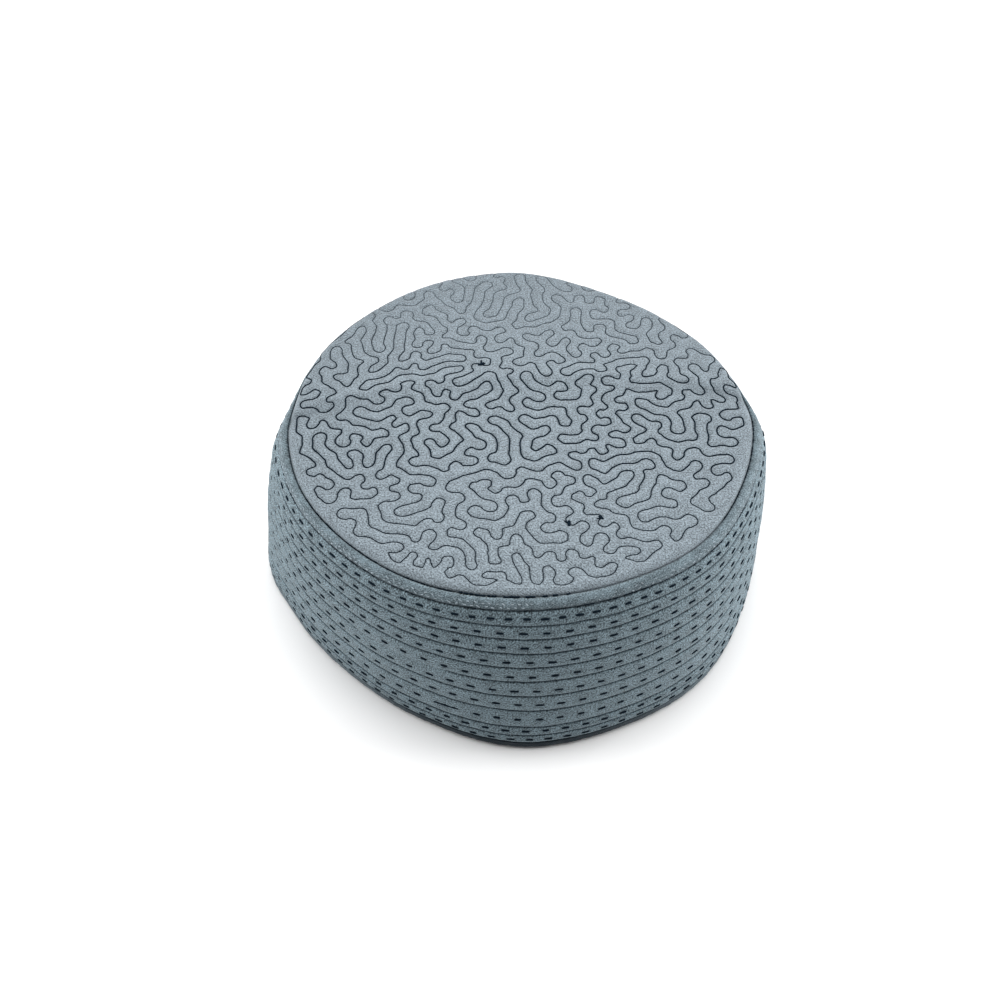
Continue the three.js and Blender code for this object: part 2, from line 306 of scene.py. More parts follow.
# In metres: the floor's half width and how far it lies below the cap, what the lights face, and the lights
FLOOR_HALF, FLOOR_DROP = 6.0, 0.0002
FLOOR_FINISH = {"Base Color": (0.93, 0.93, 0.93, 1), "Roughness": 0.9}
LIGHT_TARGET = (0.0, 0.0, 0.05)
SOFT_BOXES = (
    ("light_above_back", (0.0, 0.36, 2.0), (1.7, 1.4), 43.0),
    ("light_left", (-1.3, 0.25, 0.42), (0.9, 0.7), 17.0),
    ("light_right", (1.3, 0.3, 0.42), (0.9, 0.7), 21.5),
)


def smooth_between(before, start, end, after, t):
    """Place or value a share t of the way from start to end, on a smooth curve through its neighbours too."""
    curve = 2 * before - 5 * start + 4 * end - after
    twist = 3 * start - before - 3 * end + after
    return 0.5 * (2 * start + (end - before) * t + curve * t * t + twist * t ** 3)


def plan_column(column, heading):
    """Reads a column of the plan between its headings, smoothly and round the full circle."""
    values = PLAN[column]
    place = (heading % 360.0) / (360.0 / len(values))
    first = int(place)
    t = place - first
    before, start, end, after = (values[(first + k) % len(values)] for k in (-1, 0, 1, 2))
    return smooth_between(before, start, end, after, t)


def heading_gap(a, b):
    """Signed difference between two headings, within half a turn."""
    return (a - b + 180.0) % 360.0 - 180.0


@lru_cache(maxsize=None)
def heading_radii(heading):
    """Crown and hem radius at a heading."""
    return plan_column("crown", heading), plan_column("hem", heading)


def wall_radius(heading, height):
    """Radius of the straight wall between the crown seam and the hem."""
    crown, hem = heading_radii(round(heading, 4))
    fall = 1 - height / SEAM_HEIGHT
    radius = crown + (hem - crown) * fall
    for crease in CREASES:
        centre = crease["crown_heading"] + (crease["hem_heading"] - crease["crown_heading"]) * fall
        off = heading_gap(heading, centre)
        if abs(off) < 4 * crease["width"]:
            swell = crease["crown_swell"] + (crease["hem_swell"] - crease["crown_swell"]) * fall
            radius += swell * math.exp(-((off / crease["width"]) ** 2))
    return radius


def back_droop(heading):
    """How far the crown seam sinks behind the fold line: nothing at the creases, most at the back."""
    inside = (BACK_HALF - abs(heading_gap(heading, BACK_MIDDLE))) / BACK_RAMP
    return BACK_DROOP * (1 - (1 - min(max(inside, 0.0), 1.0)) ** 2)


def tucked(heading, height, lean):
    """Lean of a place on the rim roll or the band once it is tucked in behind the fold line."""
    inside = (BACK_HALF - abs(heading_gap(heading, BACK_MIDDLE))) / TUCK_RAMP
    tuck = BACK_TUCK * min(max(inside, 0.0), 1.0)
    return lean - tuck * (lean / RIM_LEAN if height > RIM_FOOT else height / SEAM_HEIGHT)


def on_wall(heading, height, lean):
    """Point of the cap's plan at a heading and height, lean millimetres outside the straight wall."""
    radius = wall_radius(heading, height) + tucked(heading, height, lean)
    angle = math.radians(heading)
    sunk = height * (1 - back_droop(heading) / SEAM_HEIGHT)
    return Vector((radius * math.sin(angle), -radius * math.cos(angle), sunk))


def ripple(x, y, z, size, seed):
    """Smooth noise from -1 to 1 with features about size millimetres across."""
    return noise.noise(Vector((x / size + seed * 17.3, y / size, z / size)))


def lumps(rows, x, y, z):
    """Soft unevenness of the cloth at a place: rows of strength, size and seed, added up."""
    return sum(strength * ripple(x, y, z, size, seed) for strength, size, seed in rows)


def cap_settings():
    """The sizes and colours that a user may change."""
    return bpy.context.scene.prayer_cap


def round_steps():
    """Mesh steps round the cap."""
    return cap_settings().round_steps // 1


# Shapes shared by the pieces

def new_piece(bm, name, cloth, nodes=()):
    """Puts a finished bmesh into the frame, in metres, riding on the cap and standing for the named nodes."""
    bmesh.ops.translate(bm, verts=bm.verts, vec=PLAN_SHIFT)
    bmesh.ops.scale(bm, verts=bm.verts, vec=(MM, MM, MM))
    mesh = bpy.data.meshes.new(name)
    bm.to_mesh(mesh)
    bm.free()
    mesh.shade_smooth()
    mesh.materials.append(cloth)
    piece = bpy.data.objects.new(name, mesh)
    bpy.context.scene.collection.objects.link(piece)
    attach(piece, BODY)
    if nodes:
        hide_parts(*nodes)
    return piece


def spun_section(section, steps):
    """A closed section, given as (radius, height) points, spun all the way round from the front."""
    bm = bmesh.new()
    ring = [bm.verts.new((0.0, -radius, height)) for radius, height in section]
    edges = [bm.edges.new((ring[k - 1], ring[k])) for k in range(len(ring))]
    bmesh.ops.spin(bm, geom=ring + edges, cent=(0, 0, 0), axis=(0, 0, 1), angle=math.tau,
                   steps=steps, use_merge=True, use_duplicate=False)
    bmesh.ops.recalc_face_normals(bm, faces=bm.faces)
    return bm


def lay_cloth_map(bm, place):
    """Gives each face corner its place on the cloth, in units of 100 mm, with no jump where a turn closes."""
    layer = bm.loops.layers.uv.new(CLOTH_MAP)
    for face in bm.faces:
        first = None
        for loop in face.loops:
            along, up = place(loop.vert)
            if first is None:
                first = along
            while along - first > 180.0:
                along -= 360.0
            while first - along > 180.0:
                along += 360.0
            loop[layer].uv = (along * CLOTH_MM_PER_DEGREE * CLOTH_UNIT, -up * CLOTH_UNIT)


def on_section(bm):
    """Each vertex of a spun section, with its heading, height and lean, and its place on the wall."""
    for vert in bm.verts:
        heading = heading_of(vert.co)
        height = vert.co.z
        lean = math.hypot(vert.co.x, vert.co.y) - PROFILE_RADIUS
        yield vert, heading, height, lean, on_wall(heading, height, lean)


def section_place(vert):
    """Place on the cloth of a rolled piece: its heading, and how far up and in it lies."""
    return heading_of(vert.co), vert.co.z - math.hypot(vert.co.x, vert.co.y)


def heading_of(point):
    """Heading of a point in plan, in degrees from the front towards +X."""
    return math.degrees(math.atan2(point.x, -point.y))


def closed_curve(points, steps):
    """Smooth closed curve through points, with steps places between each pair."""
    made = []
    count = len(points)
    for i in range(count):
        before, start, end, after = (points[(i + k) % count] for k in (-1, 0, 1, 2))
        made += [smooth_between(before, start, end, after, k / steps) for k in range(steps)]
    return made


@lru_cache(maxsize=None)
def stitch_shape():
    """One thread bead with round ends, a unit long each way, kept to be placed many times."""
    bm = bmesh.new()
    bmesh.ops.create_uvsphere(bm, u_segments=6, v_segments=6, radius=1.0,
                              matrix=Matrix.Rotation(math.pi / 2, 4, "Y"))
    for vert in bm.verts:
        girth = math.hypot(vert.co.y, vert.co.z)
        plump = girth ** -0.6 if girth > 0.01 else 1.0
        vert.co = (math.copysign(abs(vert.co.x) ** 0.7, vert.co.x), vert.co.y * plump, vert.co.z * plump)
    mesh = bpy.data.meshes.new("stitch_shape")
    bm.to_mesh(mesh)
    bm.free()
    return mesh


def add_stitch(bm, centre, along, out, size):
    """A short thread lying on the cloth: size is its length, width and rise."""
    across = out.cross(along).normalized()
    turn = Matrix((along * size[0] / 2, across * size[1] / 2, out * size[2] / 2)).transposed()
    bead = stitch_shape().copy()
    bead.transform(Matrix.Translation(centre) @ turn.to_4x4())
    bm.from_mesh(bead)
    bpy.data.meshes.remove(bead)


def thread_tube(points, radius, closed, sides=2, heft=None):
    """A thread along points, as the mesh of a bevelled curve, thicker or thinner by heft."""
    line = bpy.data.curves.new("thread_line", "CURVE")
    line.dimensions = "3D"
    line.bevel_depth = radius
    line.bevel_resolution = sides
    line.use_fill_caps = not closed
    spline = line.splines.new("POLY")
    spline.points.add(len(points) - 1)
    for k, co in enumerate(points):
        spline.points[k].co = (*co, 1.0)
        spline.points[k].radius = heft[k] if heft else 1.0
    spline.use_cyclic_u = closed
    holder = bpy.data.objects.new("thread_line", line)
    bpy.context.scene.collection.objects.link(holder)
    bpy.context.view_layer.update()
    mesh = bpy.data.meshes.new_from_object(holder.evaluated_get(bpy.context.evaluated_depsgraph_get()))
    bpy.data.objects.remove(holder)
    bpy.data.curves.remove(line)
    bm = bmesh.new()
    bm.from_mesh(mesh)
    bpy.data.meshes.remove(mesh)
    return bm


# Crown: its surface, its quilting line and its thread

def seam_radius(heading):
    """Radius of the crown's edge."""
    return wall_radius(heading, SEAM_HEIGHT) - PIECE_GAP


def fold_line(x):
    """How far back the crown's fold line lies at a place across the cap."""
    return FOLD_OFFSET + FOLD_SKEW * x - FOLD_BOW * x * x


def fold_dent(x, y):
    """Soft dent in front of the fold line, strongest at its two ends."""
    front = (fold_line(x) - DENT_FRONT - y) / DENT_WIDTH
    end = max(0.0, DENT_END - abs(x)) / DENT_REACH
    return math.exp(-front * front - end * end) * (0.8 + 0.5 * ripple(x, y, 0.0, 5.0, 18))


def line_weight(y):
    """How heavily the quilting line shows at a place from the front to the back."""
    return float(numpy.interp(y, *zip(*LINE_WEIGHTS)))


def plain_crown(x, y):
    """Height of the crown at a place in plan, before it is quilted."""
    heading = heading_of(Vector((x, y)))
    share = min(math.hypot(x, y) / seam_radius(heading), 1.0)
    curl = max(0.0, (share - CURL_SHARE) / (1 - CURL_SHARE))
    off = math.sqrt((y - fold_line(x)) ** 2 + FOLD_CREST ** 2) - FOLD_CREST
    ridge = FOLD_RIDGE * math.exp(-off / FOLD_SPREAD)
    rise = (CROWN_DOME + ridge) * (1 - share ** 4) + MARGIN_PUFF
    rise -= back_droop(heading) * (1 - math.sqrt(1 - curl * curl)) + DENT_DEPTH * fold_dent(x, y)
    edge = max(0.0, (share - EDGE_SHARE) / (1 - EDGE_SHARE))
    return SEAM_HEIGHT + rise - EDGE_DROP * edge * edge


def scattered_places(spacing, rng):
    """Places inside the crown's margin, none nearer to another than the spacing."""
    places = []
    while len(places) < QUILT_MOST:
        for _ in range(QUILT_TRIES):
            angle = rng.random() * math.tau
            place = Vector((math.cos(angle), math.sin(angle))) * QUILT_SCATTER * math.sqrt(rng.random())
            inside = place.length < seam_radius(heading_of(place)) - QUILT_MARGIN - QUILT_LANE
            if inside and all((place - other).length > spacing for other in places):
                places.append(place)
                break
        else:
            break
    return places


def gap_to_edge(place, start, end):
    """Distance from a place to a straight edge."""
    run = end - start
    share = max(0.0, min(1.0, (place - start).dot(run) / run.length_squared))
    return (place - start - run * share).length


def edges_cross(a, b, c, d):
    """Whether the straight edges a to b and c to d cross."""
    def side(p, q, r):
        return (q.x - p.x) * (r.y - p.y) - (q.y - p.y) * (r.x - p.x)

    return side(a, b, c) * side(a, b, d) < 0 and side(c, d, a) * side(c, d, b) < 0


def quilting_tree(places, spacing, rng):
    """Joins the places into a winding tree whose branches never cross or touch."""
    start = min(range(len(places)), key=lambda k: places[k].length)
    growing, joined, edges = [start], {start}, []
    while growing:
        pick = len(growing) - 1 if rng.random() < QUILT_WANDER else rng.randrange(len(growing))
        here = growing[pick]
        near = [k for k in range(len(places)) if k not in joined
                and (places[k] - places[here]).length < spacing * QUILT_REACH]
        rng.shuffle(near)
        for k in near:
            a, b = places[here], places[k]
            clear = all(gap_to_edge(places[n], a, b) > spacing * QUILT_CLEAR
                        for n in range(len(places)) if n not in (here, k))
            if clear and not any(edges_cross(a, b, places[m], places[n]) for m, n in edges):
                joined.add(k)
                edges.append((here, k))
                growing.append(k)
                break
        else:
            growing.pop(pick)
    return edges


def walk_round(places, edges):
    """Goes once round the tree, a lane's distance off its branches, and gives the places passed."""
    ahead = {}
    for a, b in edges:
        ahead.setdefault(a, []).append(b)
        ahead.setdefault(b, []).append(a)

    def angle_to(a, b):
        run = places[b] - places[a]
        return math.atan2(run.y, run.x)

    points = []
    start = last, here = edges[0]
    while True:
        a, b = places[last], places[here]
        run = (b - a).normalized()
        points.append(a.lerp(b, 0.5) + Vector((run.y, -run.x)) * QUILT_LANE)
        back = angle_to(here, last)
        sector, following = min(((angle_to(here, k) - back) % math.tau or math.tau, k) for k in ahead[here])
        for share in ((0.25, 0.5, 0.75) if sector > math.radians(200) else (0.5,)):
            angle = back + sector * share
            points.append(b + Vector((math.cos(angle), math.sin(angle))) * QUILT_LANE)
        last, here = here, following
        if (last, here) == start:
            return points


def nearby_pairs(line, reach):
    """Pairs of places on the line that lie close to each other and aren't neighbours along it."""
    off = line[:, None, :] - line[None, :, :]
    first, second = numpy.nonzero(numpy.triu(off[..., 0] ** 2 + off[..., 1] ** 2 < reach * reach, 2))
    apart = second - first < len(line) - 1
    return first[apart], second[apart]


def margin_limit(heading):
    """How far out the quilting may reach at a heading, past which lies the ragged plain margin."""
    angle = math.radians(heading)
    wave = ripple(math.cos(angle) * RAGGED_RING, math.sin(angle) * RAGGED_RING, 0.0, RAGGED_SIZE, RAGGED_SEED)
    margin = QUILT_MARGIN + QUILT_RAGGED * abs(wave)
    return seam_radius(heading) - margin * (1 - QUILT_BACK_SHARE * back_droop(heading))


def ease_apart(line, spacing, rng, length_wanted):
    """Lets the line grow and push itself apart, as a worm would, until it fills the crown evenly."""
    limits = numpy.array([margin_limit(heading) for heading in range(361)])
    settling = 0
    turn = 0
    pairs = None
    while settling < QUILT_SETTLE and turn < QUILT_TURNS:
        ahead = numpy.roll(line, -1, 0)
        length = numpy.hypot(*(ahead - line).T)
        if length.sum() < length_wanted:
            split = (length > 1.5 * QUILT_STEP) | (rng.random(len(line)) < QUILT_GROWTH)
        else:
            split = length > 1.5 * QUILT_STEP
            settling += 1
        if split.any():
            where = numpy.nonzero(split)[0]
            line = numpy.insert(line, where + 1, (line[where] + ahead[where]) / 2, axis=0)
            pairs = None
        if pairs is None or turn % QUILT_RENEW == 0:
            pairs = nearby_pairs(line, spacing * QUILT_NEAR)
        first, second = pairs
        off = line[first] - line[second]
        gap = numpy.maximum(numpy.hypot(*off.T), 1e-6)
        push = off * (numpy.clip(1 - gap / spacing, 0, None) * QUILT_PUSH / gap)[:, None]
        move = numpy.zeros_like(line)
        for axis in (0, 1):
            move[:, axis] = (numpy.bincount(first, push[:, axis], len(line))
                             - numpy.bincount(second, push[:, axis], len(line)))
        before, after = numpy.roll(line, 1, 0), numpy.roll(line, -1, 0)
        move += QUILT_SMOOTH * ((before + after) / 2 - line)
        for other in (before, after):
            run = other - line
            long = numpy.maximum(numpy.hypot(*run.T), 1e-6)
            move += QUILT_SPRING * run * ((long - QUILT_STEP) / long)[:, None]
        size = numpy.maximum(numpy.hypot(*move.T), 1e-9)
        line = line + move * numpy.minimum(1, QUILT_STRIDE / size)[:, None]
        radius = numpy.maximum(numpy.hypot(*line.T), 1e-6)
        heading = numpy.degrees(numpy.arctan2(line[:, 0], -line[:, 1])) % 360
        limit = numpy.interp(heading, numpy.arange(361), limits)
        soft = numpy.clip(radius - limit, 0, None)
        line = line * (1 - QUILT_HOLD * soft / radius)[:, None]
        turn += 1
    return line


def quilting_loop(spacing, seed):
    """One closed line that meanders over the crown in short round-ended loops, grown not to cross itself."""
    rng = random.Random(seed)
    places = scattered_places(QUILT_TREE, rng)
    points = walk_round(places, quilting_tree(places, QUILT_TREE, rng))
    rough = closed_curve([p.to_3d() for p in points], 2)
    line = numpy.array([(p.x, p.y) for p in rough])
    area = math.pi * (sum(seam_radius(h) for h in range(0, 360, 10)) / 36 - QUILT_MARGIN) ** 2
    line = ease_apart(line, spacing, numpy.random.default_rng(seed), area / (spacing * QUILT_FILL))
    return closed_curve([Vector((x, y, 0.0)) for x, y in line], QUILT_STEPS)


def crown_surface(x, y, nearest):
    """Height of the quilted crown, and how deep the place lies in the quilting."""
    gap = nearest(x, y)
    sunk = math.exp(-((gap / QUILT_GROOVE) ** 2))
    pillow = QUILT_PILLOW * (1 - math.exp(-gap / PILLOW_REACH))
    return plain_crown(x, y) + lumps(CROWN_LUMPS, x, y, 0.0) + pillow - QUILT_SINK * sunk, sunk


def quilting_finder(line):
    """Gives the distance from any place in plan to the quilting line."""
    tree = KDTree(len(line))
    for k, point in enumerate(line):
        tree.insert((point.x, point.y, 0.0), k)
    tree.balance()
    return lambda x, y: tree.find((x, y, 0.0))[2]


def make_crown(cells):
    """The quilted crown: a square grid pressed into the seam's outline, with its edge and underside."""
    line = quilting_loop(cap_settings().quilting_spacing / MM, cap_settings().quilting_seed)
    nearest = quilting_finder(line)
    bm = bmesh.new()
    bmesh.ops.create_grid(bm, x_segments=cells, y_segments=cells, size=1.0)
    shade = bm.verts.layers.float.new(FOLD_SHADE)
    for vert in bm.verts:
        u, v = vert.co.x, vert.co.y
        disc = Vector((u * math.sqrt(1 - v * v / 2), v * math.sqrt(1 - u * u / 2)))
        radius = seam_radius(heading_of(disc))
        x, y = disc.x * radius, disc.y * radius
        height, sunk = crown_surface(x, y, nearest)
        edge = max(0.0, (disc.length - EDGE_SHARE) / (1 - EDGE_SHARE))
        vert.co = (x, y, height - EDGE_TURN * edge)
        # Painted shade: darker in the quilting grooves, where the edge turns down, in the dents, and away
        # from the front
        far_shade = FAR_SHADE * (math.hypot(x, y - FAR_SHADE_FROM) / FAR_SHADE_REACH) ** 2
        quilt = sunk * QUILT_SHADE * line_weight(y)
        vert[shade] = max(quilt, CROWN_EDGE_SHADE * edge ** 8, DENT_SHADE * fold_dent(x, y) + far_shade)
    rim = [edge for edge in bm.edges if edge.is_boundary]
    for share, drop in CROWN_UNDERSIDE:
        made = bmesh.ops.extrude_edge_only(bm, edges=rim)["geom"]
        rim = [item for item in made if isinstance(item, bmesh.types.BMEdge)]
        for vert in (item for item in made if isinstance(item, bmesh.types.BMVert)):
            flat = Vector((vert.co.x, vert.co.y))
            flat = flat * (share * seam_radius(heading_of(flat)) / flat.length)
            vert.co = (flat.x, flat.y, plain_crown(flat.x, flat.y) - drop)
            # Painted shade under the crown
            vert[shade] = UNDERSIDE_SHADE
    bmesh.ops.contextual_create(bm, geom=rim)
    bmesh.ops.recalc_face_normals(bm, faces=bm.faces)
    layer = bm.loops.layers.uv.new(CLOTH_MAP)
    for face in bm.faces:
        for loop in face.loops:
            flat = Vector((loop.vert.co.x, loop.vert.co.y))
            bent = max(0.0, SEAM_HEIGHT + MARGIN_PUFF - loop.vert.co.z)
            loop[layer].uv = flat * CLOTH_UNIT * (1 + bent / max(flat.length, BENT_FROM))
    return bm, line


def make_quilting_thread(line):
    """The quilting thread, lying in its groove all along the line."""
    points = []
    for x, y, level in line:
        height = plain_crown(x, y) + lumps(CROWN_LUMPS, x, y, level)
        points.append((x, y, height - QUILT_SINK + THREAD_SHOW))
    return thread_tube(points, QUILT_THREAD, closed=True, heft=[line_weight(point[1]) for point in points])


def make_tie_offs(line):
    """Small dark knots where the quilting thread starts and ends."""
    bm = bmesh.new()
    up = Vector((0, 0, 1))
    for x, y, turn, heft in TIE_OFFS:
        near = min(line, key=lambda point: (point.x - x) ** 2 + (point.y - y) ** 2)
        centre = Vector((near.x, near.y, plain_crown(near.x, near.y)))
        along = Vector((math.cos(turn), math.sin(turn), 0))
        add_stitch(bm, centre + up * KNOT_LIFT, along, up, KNOT_SIZE * heft)
        side = Vector((math.cos(turn + TAIL_TURN), math.sin(turn + TAIL_TURN), 0))
        add_stitch(bm, centre + side * TAIL_OFF * heft, side, up, TAIL_SIZE * heft)
    return bm


# Rim roll

def seam_shut(heading):
    """How tightly the crown seam is shut: fully for a stretch right of the front, and partly at the front."""
    beside = math.exp(-((heading_gap(heading, SEAM_SHUT_AT) / SEAM_SHUT_REACH) ** 4))
    front = math.exp(-((heading_gap(heading, 0.0) / SEAM_SHUT_FRONT_REACH) ** 4))
    return max(beside, SEAM_SHUT_FRONT * front)


def make_rim(steps):
    """The rim roll: its section spun round, laid along the wall and made uneven, with a lip inside."""
    section = closed_curve([Vector((lean, -drop, 0.0)) for lean, drop in ROLL_SECTION], ROLL_STEPS)
    bm = spun_section([(PROFILE_RADIUS + p.x, SEAM_HEIGHT + p.y) for p in section], steps)
    shade = bm.verts.layers.float.new(FOLD_SHADE)
    for vert, heading, height, lean, place in on_section(bm):
        low = max(0.0, min(1.0, (SEAM_HEIGHT - height - ROLL_LOW_FROM) / ROLL_LOW_REACH))
        wave = lumps(ROLL_WAVE, place.x, place.y, 0.0) * low
        inside = lean < ROLL_INSIDE
        puff = lumps(ROLL_LUMPS, place.x, place.y, height * 2) * (lean > ROLL_OUTSIDE)
        if inside:
            puff = -SEAM_NEAR - SEAM_NEARER * seam_shut(heading)
        vert.co = on_wall(heading, height + wave, lean + puff)
        if inside:
            near = (SEAM_HEIGHT - SEAM_LIP_DROP - height) / SEAM_LIP_HALF
            vert.co -= Vector((vert.co.x, vert.co.y, 0)).normalized() * SEAM_LIP * math.exp(-near * near)
        # Painted shade: darker on the inner wall, and raggedly towards the lower seam
        ragged = 1.0 + RAG_FINE * ripple(place.x, place.y, height, RAG_FINE_SIZE, 5)
        ragged += RAG_BROAD * ripple(place.x, place.y, 0.0, RAG_BROAD_SIZE, 7)
        vert[shade] = max(ROLL_INNER_SHADE * inside, min(1.0, ROLL_LOW_SHADE * low ** 3 * ragged))
    lay_cloth_map(bm, section_place)
    return bm


def make_edge_stitches(seed):
    """Small slanting stitches in the cloth's own colour, along the front of the rim roll."""
    rng = random.Random(seed)
    bm = bmesh.new()
    step = EDGE_STITCH_PITCH / CLOTH_MM_PER_DEGREE
    for start, end, heft in EDGE_STITCHES:
        for k in range(int((end - start) / step)):
            heading = start + step * (k + rng.uniform(-EDGE_JITTER, EDGE_JITTER))
            lean, drop, facing_up = EDGE_LINES[k % 2]
            height = SEAM_HEIGHT - drop
            centre = on_wall(heading, height - rng.uniform(-EDGE_DROP_JITTER, EDGE_DROP_JITTER),
                             lean - rng.uniform(0.0, EDGE_SUNK_MOST))
            along = (on_wall(heading + 1.0, height, lean) - centre).normalized()
            out = Vector((centre.x, centre.y, 0)).normalized()
            out = (out + Vector((0, 0, facing_up))).normalized()
            down = along.cross(out).normalized()
            slant = (along + down * rng.uniform(*EDGE_SLANT)).normalized()
            size = Vector((rng.uniform(*EDGE_LENGTH), rng.uniform(*EDGE_WIDTH), EDGE_RISE)) * heft
            add_stitch(bm, centre, slant, out, size)
    return bm


def make_seam_stitches(seed):
    """Short dark stitches that show here and there along the rim's upper and lower seam."""
    rng = random.Random(seed)
    bm = bmesh.new()
    step = SEAM_STITCH_PITCH / CLOTH_MM_PER_DEGREE
    for start, end, heft, lean, drop, missing in SEAM_STITCHES:
        for k in range(int((end - start) / step)):
            heading = start + step * (k + rng.uniform(-SEAM_JITTER, SEAM_JITTER))
            rise = rng.uniform(-SEAM_RISE_JITTER, SEAM_RISE_JITTER)
            length = rng.uniform(*SEAM_STITCH_LENGTH)
            if rng.random() < missing:
                continue
            centre = on_wall(heading, SEAM_HEIGHT - drop + rise, lean)
            along = (on_wall(heading + 1.0, SEAM_HEIGHT - drop + rise, lean) - centre).normalized()
            out = Vector((centre.x, centre.y, 0)).normalized() + Vector((0, 0, SEAM_FACING_UP))
            out = (out - along * out.dot(along)).normalized()
            add_stitch(bm, centre, along, out, (length, SEAM_STITCH_WIDTH * heft, SEAM_STITCH_RISE * heft))
    return bm


def make_seam_thread():
    """The dark line of the crown seam, lying in the slit between the crown and the rim roll."""
    points = []
    for k in range(SEAM_THREAD_STEPS):
        heading = 360 * k / SEAM_THREAD_STEPS
        hidden = SEAM_THREAD_HIDDEN * seam_shut(heading)
        sink = 0.1 * ripple(heading, 0.0, 0.0, 2.2, 8) + 0.12 * ripple(heading, 4.0, 0.0, 11.0, 9) - hidden
        points.append(on_wall(heading, SEAM_HEIGHT - SEAM_THREAD_DROP + sink, SEAM_THREAD_LEAN))
    return thread_tube(points, SEAM_THREAD, closed=True)


# Side band

def band_rows():
    """The band's rows, each with its upper and its lower groove."""
    return list(zip(GROOVES[:-1], GROOVES[1:]))


def groove_fade(index, heading):
    """One groove dies away for a stretch left of the front."""
    if index != FADED_GROOVE:
        return 1.0
    turn = heading_gap(heading, 0.0)
    start, end = (turn - FADE_FROM) / FADE_RAMP, (FADE_TO - turn) / FADE_RAMP
    return 1.0 - FADE_SHARE * min(max(start, 0.0), 1.0) * min(max(end, 0.0), 1.0)


def outer_lean(heading, height):
    """Lean of the band's outer face, and how deep the place lies in a groove."""
    for index, (above, below) in enumerate(band_rows()):
        if height >= below[0] or index == len(GROOVES) - 2:
            break
    tall = above[0] - below[0]
    down = min(max(above[0] - height, 0.0), tall)
    up = tall - down
    lean = above[1] + (below[1] - above[1]) * down / tall
    over, under = groove_fade(index, heading), groove_fade(index + 1, heading)
    lean += ROW_BELLY * math.sin(math.pi * down / tall)
    lean -= over * GROOVE_LAP * math.exp(-down / LAP_REACH)
    lean -= under * GROOVE_TUCK * math.exp(-up / TUCK_REACH)
    depth = max(over * math.exp(-((down / GROOVE_HALF) ** 2)), under * math.exp(-((up / GROOVE_HALF) ** 2)))
    return lean, depth


def band_skin(heading, height):
    """Place on the band's outer face with its soft lumps, its lean there and its depth in a groove."""
    lean, depth = outer_lean(heading, height)
    point = on_wall(heading, height, lean)
    lean += lumps(BAND_LUMPS, *point)
    return on_wall(heading, height, lean), lean, depth


def near_end(heading):
    """How near a heading is to the two creases, from 0 to 1."""
    off = abs(heading_gap(heading, END_MIDDLE))
    return min(max(min(off - END_FROM, END_TO - off) / END_RAMP, 0.0), 1.0)


def row_lengths(height):
    """Headings all round, and how far along a row at a height each lies from the front."""
    headings = [-180 + k for k in range(361)]
    places = [on_wall(h, height, outer_lean(h, height)[0]) for h in headings]
    lengths = [0.0]
    for a, b in zip(places, places[1:]):
        lengths.append(lengths[-1] + (b - a).length)
    middle = lengths[180]
    return headings, [length - middle for length in lengths]


def heading_along(headings, lengths, along):
    """Heading at a distance along a row."""
    low, high = 0, len(lengths) - 1
    while high - low > 1:
        mid = (low + high) // 2
        if lengths[mid] <= along:
            low = mid
        else:
            high = mid
    share = (along - lengths[low]) / (lengths[high] - lengths[low])
    return headings[low] + (headings[high] - headings[low]) * share


def running_stitches(seed):
    """Every stitch of the band's rows: its heading, height, length, tilt and heft."""
    rng = random.Random(seed)
    stitches = []
    for number, row in enumerate(STITCH_ROWS):
        headings, lengths = row_lengths(row["height"])
        places = []
        along, k = row["start"], 0
        while along < lengths[-1] - row["pitch"] * ROW_END:
            places.append(along)
            along += row["pitch"] + row["drift"] * min(k, DRIFT_LIMIT)
            k += 1
        along = row["start"] - row["pitch"]
        while along > lengths[0] + row["pitch"] * ROW_END:
            places.append(along)
            along -= row["pitch"]
        for along in sorted(places):
            length = STITCH_LENGTH * rng.uniform(*LENGTH_SHARES)
            slip, lift, tilt = (rng.uniform(-most, most) for most in (SLIP, LIFT, TILT))
            if number == LONG_STITCH_ROW and abs(along - LONG_STITCH_AT) < row["pitch"]:
                if along > LONG_STITCH_AT:
                    continue
                length, slip = LONG_STITCH, LONG_STITCH_AT - along
            heading = heading_along(headings, lengths, along + slip)
            heft = 1.0 - (1.0 - END_STITCH) * near_end(heading) * (number > 0)
            stitches.append((heading, row["height"] + lift, length, tilt, heft))
    return stitches


def stitch_frame(heading, height, tilt):
    """Place, direction along the row and direction out of the cloth of a stitch."""
    place = band_skin(heading, height)[0]
    along = (band_skin(heading + 0.8, height)[0] - band_skin(heading - 0.8, height)[0]).normalized()
    up = (band_skin(heading, height + 0.7)[0] - band_skin(heading, height - 0.7)[0]).normalized()
    out = along.cross(up).normalized()
    along = (along + up * tilt).normalized()
    return place, along, out


def band_section():
    """The band's section: rings close together at the grooves outside, and plain inside."""
    section = []
    for (above, _), (below, _) in band_rows():
        plain = above - below - RINGS_BELOW[-1] - RINGS_ABOVE[0]
        parts = max(2, round(plain / RING_SPACING))
        section += [(OUTER_MARK, above - down) for down in RINGS_BELOW]
        section += [(OUTER_MARK, above - RINGS_BELOW[-1] - plain * k / parts) for k in range(1, parts)]
        section += [(OUTER_MARK, below + up) for up in RINGS_ABOVE]
    bottom, top = GROOVES[-1][0], GROOVES[0][0]
    section.append((OUTER_MARK, bottom))
    last = INNER_RINGS - 1
    return section + [(INNER_MARK, bottom + (top - bottom) * k / last) for k in range(INNER_RINGS)]


